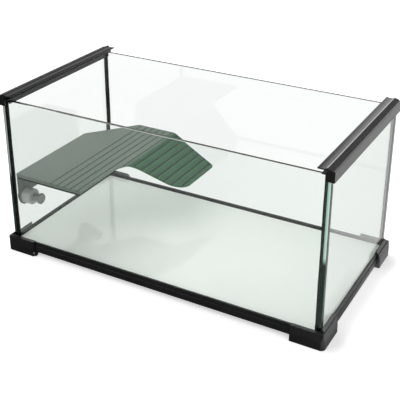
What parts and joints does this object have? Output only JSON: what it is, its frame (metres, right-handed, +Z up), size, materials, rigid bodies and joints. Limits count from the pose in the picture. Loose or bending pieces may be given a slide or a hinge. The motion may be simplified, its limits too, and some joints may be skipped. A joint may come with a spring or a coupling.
{
  "type": "turtle tank",
  "caption": "Rectangular open-topped glass turtle tank on a black plastic base, with black cover tracks along its short top edges and a green basking ramp on suction cups.",
  "frame": {"origin": "on the ground under the middle of the tank's outline", "axes": "+X along the tank's long side, to the right as seen from the front; +Y from the front pane to the rear pane; +Z up"},
  "size_m": [0.62, 0.326, 0.306],
  "materials": {
    "clear_glass": "clear float glass with polished pale green edges",
    "white_backed_glass": "clear float glass, white on its underside",
    "black_silicone": "smooth satin bead",
    "black_plastic": "satin, finely grained",
    "green_plastic": "satin, darker green in the ramp's grooves",
    "black_rubber": "soft extruded edging",
    "grey_plastic": "satin moulding",
    "grey_knob": "satin moulding with a ribbed rim",
    "soft_vinyl": "soft, glossy and slightly translucent",
    "white_nylon": "satin"
  },
  "bodies": {
    "tank": {"front_pane": "clear_glass", "rear_pane": "clear_glass", "left_pane": "clear_glass", "right_pane": "clear_glass", "floor_pane": "white_backed_glass", "corner_seal_front_left": "black_silicone", "corner_seal_front_right": "black_silicone", "corner_seal_rear_left": "black_silicone", "corner_seal_rear_right": "black_silicone", "floor_seal_front": "black_silicone", "floor_seal_rear": "black_silicone", "floor_seal_left": "black_silicone", "floor_seal_right": "black_silicone", "base_rail_front": "black_plastic", "base_rail_rear": "black_plastic", "base_rail_left": "black_plastic", "base_rail_right": "black_plastic", "corner_foot_front_left": "black_plastic", "corner_foot_front_right": "black_plastic", "corner_foot_rear_left": "black_plastic", "corner_foot_rear_right": "black_plastic", "top_rail_left": "black_plastic", "top_rail_right": "black_plastic", "rail_seal_left": "black_silicone", "rail_seal_right": "black_silicone"},
    "platform": {"basking_platform": "green_plastic", "front_strip": "black_rubber", "cup_housing_front": "grey_plastic", "cup_housing_rear": "grey_plastic"},
    "front_cup": {"suction_cup_front": "soft_vinyl", "cup_stud_front": "white_nylon"},
    "front_knob": {"cup_knob_front": "grey_knob"},
    "rear_cup": {"suction_cup_rear": "soft_vinyl", "cup_stud_rear": "white_nylon"},
    "rear_knob": {"cup_knob_rear": "grey_knob"}
  },
  "joints": [
    {"name": "platform_height", "type": "slide", "parent": "tank", "child": "platform", "axis": [0, 0, 1], "range_m": [-0.05, 0.13]},
    {"name": "front_knob_turn", "type": "hinge", "parent": "platform", "child": "front_knob", "pos_m": [-0.258, -0.1265, 0.1035], "axis": [1, 0, 0], "range_deg": [-360, 0]},
    {"name": "front_cup_pull", "type": "slide", "parent": "platform", "child": "front_cup", "axis": [1, 0, 0], "range_m": [0, 0.00126]},
    {"name": "rear_knob_turn", "type": "hinge", "parent": "platform", "child": "rear_knob", "pos_m": [-0.258, 0.0405, 0.1035], "axis": [1, 0, 0], "range_deg": [-360, 0]},
    {"name": "rear_cup_pull", "type": "slide", "parent": "platform", "child": "rear_cup", "axis": [1, 0, 0], "range_m": [0, 0.00126]}
  ],
  "couplings": [
    {"joint": "front_cup_pull", "follows": "front_knob_turn", "m_per_rad": -0.00019894},
    {"joint": "rear_cup_pull", "follows": "rear_knob_turn", "m_per_rad": -0.00019894}
  ]
}
